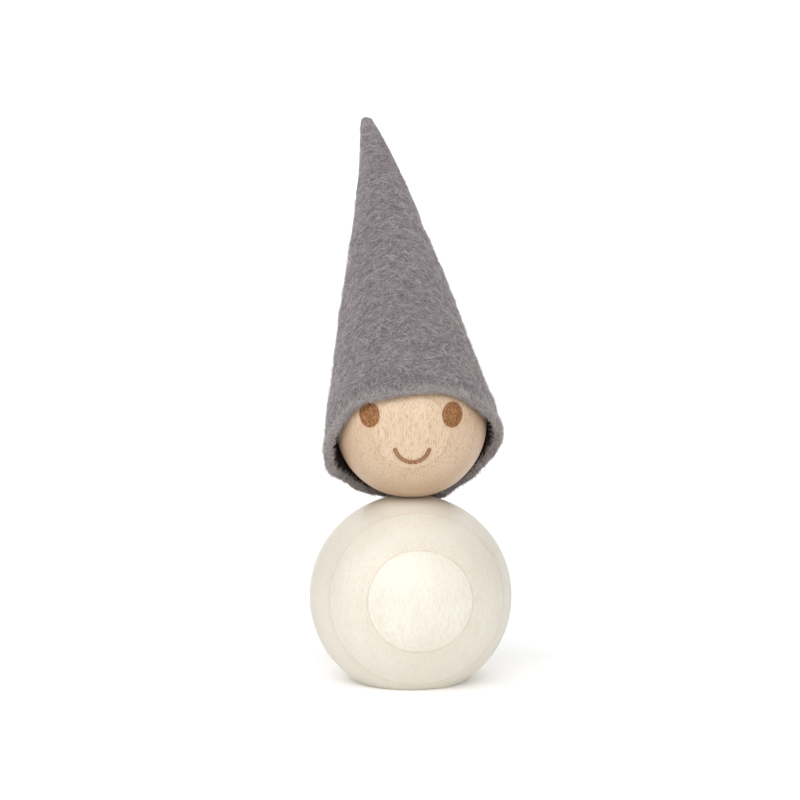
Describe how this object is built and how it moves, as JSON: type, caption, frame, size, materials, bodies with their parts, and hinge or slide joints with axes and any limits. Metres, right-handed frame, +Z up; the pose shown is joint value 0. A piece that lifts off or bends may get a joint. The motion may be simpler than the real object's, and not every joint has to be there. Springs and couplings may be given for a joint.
{
  "type": "tomte gnome figurine",
  "caption": "Round-bodied wooden gnome: a flat-based ball with a smaller ball head on it, a burned smiling face and a tall felt cone hat that leans back.",
  "frame": {"origin": "centre of the flat face under the body ball, which the figurine stands on", "axes": "+Z up through the centres of the body and head balls, -Y the way the face looks, +X to the viewer's right when facing the figurine, so the hat's tip leans to +Y and a little to -X"},
  "size_m": [0.04, 0.0737, 0.1121],
  "materials": {
    "bleached_wood": "satin clear glaze over whitened, close-grained wood",
    "natural_wood": "satin clear lacquer over natural close-grained wood, with the face burned in brown",
    "dowel_wood": "bare sanded beech",
    "grey_felt": "matte napped wool felt, mottled warm grey",
    "grey_thread": "matte twisted cotton thread"
  },
  "bodies": {
    "figure": {"body_ball": "bleached_wood", "head_ball": "natural_wood", "neck_dowel": "dowel_wood"},
    "hat": {"hat_felt": "grey_felt", "seam_stitches": "grey_thread"}
  },
  "joints": [
    {"name": "hat_lift", "type": "slide", "parent": "figure", "child": "hat", "axis": [-0.1045, 0.659, 0.7449], "range_m": [0, 0.04]}
  ]
}
